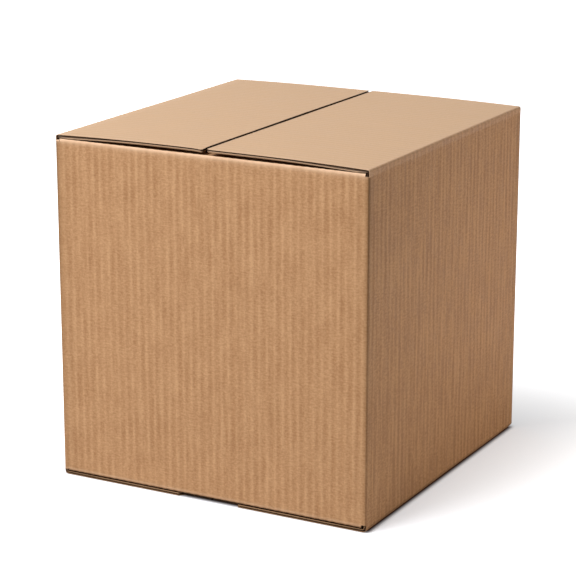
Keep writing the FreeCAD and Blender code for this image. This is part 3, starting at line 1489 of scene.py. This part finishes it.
@dataclass(frozen=True)
class Studio:
    """Camera, lamps, world and floor."""

    target_height: float
    half_width: float
    half_depth: float
    azimuth: float = 28.51
    elevation: float = 15.464
    distance: float = 2.0452
    shift_right: float = -0.00718
    shift_up: float = -0.00035
    lens: float = 135.82
    sensor_width: float = 36.0
    key_place: tuple[float, float, float] = (-1.15, -1.6, 2.42)
    key_size: float = 2.2
    key_power: float = 122.5
    fill_place: tuple[float, float, float] = (0.72, 0.22, 0.05)
    fill_size: float = 0.3
    fill_power: float = 1.65
    fill_colour: Colour = (1.0, 0.77, 0.48)
    aim_height: float = 0.15
    world_strength: float = 0.17
    floor_reach: float = 12.0
    floor_shade: Colour = (0.88, 0.90, 0.95)
    bounce_shade: Colour = (0.56, 0.54, 0.52)
    # Painted shadow on the floor below and just beside the carton: its colour and where it fades.
    contact_shade: Colour = (0.14, 0.065, 0.04)
    contact_beside: Span = (-2 * MM, 5 * MM)
    contact_before: Span = (-8 * MM, 3.5 * MM)
    # The floor's glow is dimmer and bluer near the carton: a painted shadow that fades with
    # distance.
    glow_shade: Colour = (0.01, 0.04, 0.075)
    glow_near: float = 0.445
    glow_rise: float = 2.6

    def back(self) -> Vector:
        """Direction from the carton to the camera.

        Returns:
            A unit vector.
        """
        turn, rise = math.radians(self.azimuth), math.radians(self.elevation)
        return Vector(
            (math.sin(turn) * math.cos(rise), -math.cos(turn) * math.cos(rise), math.sin(rise))
        )

    def camera(self) -> None:
        """Adds the camera at the photograph's viewing angle."""
        back = self.back()
        turn = math.radians(self.azimuth)
        right = Vector((math.cos(turn), math.sin(turn), 0.0))
        up = back.cross(right)
        data = bpy.data.cameras.new("camera")
        data.lens = self.lens
        data.sensor_width = self.sensor_width
        data.clip_start = 0.05
        data.clip_end = 50.0
        camera = added("camera", data)
        centre = Vector((0.0, 0.0, self.target_height))
        place = centre + back * self.distance + right * self.shift_right + up * self.shift_up
        basis = Matrix((right, up, back)).transposed()
        camera.matrix_world = Matrix.Translation(place) @ basis.to_4x4()
        bpy.context.scene.camera = camera

    def lamp(
        self,
        name: str,
        place: tuple[float, float, float],
        size: float,
        power: float,
        colour: Colour = WHITE,
    ) -> None:
        """Adds a square area lamp that points at the carton.

        Args:
            name: The lamp's name.
            place: Where it hangs.
            size: Length of its side.
            power: Watts.
            colour: Colour of its light.
        """
        data = bpy.data.lights.new(name, "AREA")
        data.size = size
        data.energy = power
        data.color = colour
        spot = Vector(place)
        aim = (Vector((0.0, 0.0, self.aim_height)) - spot).to_track_quat("-Z", "Y")
        added(name, data).matrix_world = Matrix.Translation(spot) @ aim.to_matrix().to_4x4()

    def world(self) -> None:
        """Sets a white world that lights softly and is seen and mirrored as plain white."""
        world = bpy.data.worlds.new("studio")
        bpy.context.scene.world = world
        world.use_nodes = True
        tree = Shader.of(world.node_tree)
        light, seen = [
            tree.node("ShaderNodeBackground", inputs={"Color": (*WHITE, 1.0), "Strength": strength})
            for strength in (self.world_strength, 1.0)
        ]
        sides = {0: tree.seen_ray(), 1: light, 2: seen}
        surface = tree.node("ShaderNodeMixShader", inputs=sides)
        tree.node("ShaderNodeOutputWorld", inputs={"Surface": surface})

    def floor(self) -> None:
        """Lays the pale floor, which keeps the carton's real shadow and has a painted shadow below
        and beside the carton.
        """
        material, tree = Shader.material("floor_white")
        position = tree.node("ShaderNodeNewGeometry", output="Position")
        across, along = [
            tree.node("ShaderNodeSeparateXYZ", inputs={0: position}, output=axis).size()
            for axis in ("X", "Y")
        ]
        beside, before = across - self.half_width, along - self.half_depth
        # Painted shadow below and just beside the carton.
        from_side = beside.step(*self.contact_beside)
        beneath = (1.0 - from_side) * (1.0 - before.step(*self.contact_before))
        # The glow rises with distance from the carton: painted shadow near it, plain white further
        # off.
        distance = beside.larger(before).larger(0.0)
        glow_with_painted_shadow = (self.glow_near + self.glow_rise * distance).held()
        glow_colour = tree.mix(glow_with_painted_shadow, (*self.glow_shade, 1.0), (*WHITE, 1.0))
        black, bounce, soft = [
            tree.node("ShaderNodeBsdfDiffuse", inputs={"Color": (*shade, 1.0)})
            for shade in (self.contact_shade, self.bounce_shade, self.floor_shade)
        ]
        glow = tree.node("ShaderNodeEmission", inputs={"Color": glow_colour, "Strength": 1.0})
        shown = tree.node("ShaderNodeAddShader", inputs={0: soft, 1: glow})
        pale = tree.node("ShaderNodeMixShader", inputs={0: tree.seen_ray(), 1: bounce, 2: shown})
        surface = tree.node("ShaderNodeMixShader", inputs={0: beneath, 1: pale, 2: black})
        tree.node("ShaderNodeOutputMaterial", inputs={"Surface": surface})
        mesh = bpy.data.meshes.new("floor")
        reach = self.floor_reach
        corners = [(-reach, -reach, 0), (reach, -reach, 0), (reach, reach, 0), (-reach, reach, 0)]
        mesh.from_pydata(corners, [], [(0, 1, 2, 3)])
        mesh.materials.append(material)
        floor = added("floor", mesh)

    def build(self) -> None:
        """Adds everything and sets the plain view transform."""
        bpy.context.scene.view_settings.view_transform = "Standard"
        self.camera()
        self.lamp("key_lamp", self.key_place, self.key_size, self.key_power)
        self.lamp(
            "fill_lamp", self.fill_place, self.fill_size, self.fill_power, self.fill_colour
        )
        self.world()
        self.floor()


def kraft_finishes(place: str, specular: float = 0.1) -> dict[Layer, bpy.types.Material]:
    """Finishes of the three papers of one piece of board.

    Args:
        place: Which piece, for the materials' names.
        specular: Gloss of the outer liner.

    Returns:
        A material for each paper.
    """
    finishes = {
        Layer.OUTER_LINER: KraftFinish(
            f"{place}_outer_kraft",
            light=(0.580, 0.338, 0.178),
            dark=(0.388, 0.200, 0.093),
            score_shade=DARK_SPECK_AND_SHADE,
            edge_shade=(0.74, 0.50, 0.33),
            edge_share=0.5,
            specular=specular,
        ),
        Layer.FLUTING: KraftFinish(
            f"{place}_fluting_kraft",
            light=(0.38, 0.23, 0.135),
            dark=(0.29, 0.18, 0.11),
            score_shade=(0.035, 0.018, 0.009),
            edge_shade=(0.44, 0.32, 0.24),
            edge_share=0.5,
            # Most of the fluting takes painted shade.
            crest_share=0.9,
            band=0.3,
            flute=0.0,
            specular=0.05,
        ),
        Layer.INNER_LINER: KraftFinish(
            f"{place}_inner_kraft",
            light=(0.48, 0.29, 0.165),
            dark=(0.36, 0.20, 0.10),
            score_shade=DARK_SPECK_AND_SHADE,
            edge_shade=(0.41, 0.275, 0.19),
            edge_share=0.6,
            flute=0.0,
            specular=0.05,
        ),
    }
    return {layer: finish.material() for layer, finish in finishes.items()}


def main() -> None:
    """Builds the carton and its studio."""
    logging.basicConfig(level=logging.INFO, format="%(message)s")
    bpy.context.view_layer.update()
    board = Board()
    sizes = CartonSizes.from_frame(board)
    studio = Studio(sizes.fold_height / 2, sizes.half_width, sizes.half_depth)
    studio.build()
    wear = WearAndPaintedShade()
    body = CartonBody(sizes, board, wear, kraft_finishes("body"))
    body.build()
    offsets = {panel.name: panel.blank_offset for panel in body.panels()}
    for side, shape in (
        (Side.LEFT, {"corner_round": 1.2 * MM, "corner_droop": 0.6 * MM}),
        (Side.RIGHT, {"corner_round": 3.0 * MM, "seam_setback": 1.0 * MM}),
    ):
        name = side.name.lower()
        finishes = kraft_finishes(f"{name}_flap", FLAP_SPECULAR)
        TopFlap(side, sizes, board, wear, finishes, offsets[name], **shape).build()


if __name__ == "__main__":
    main()
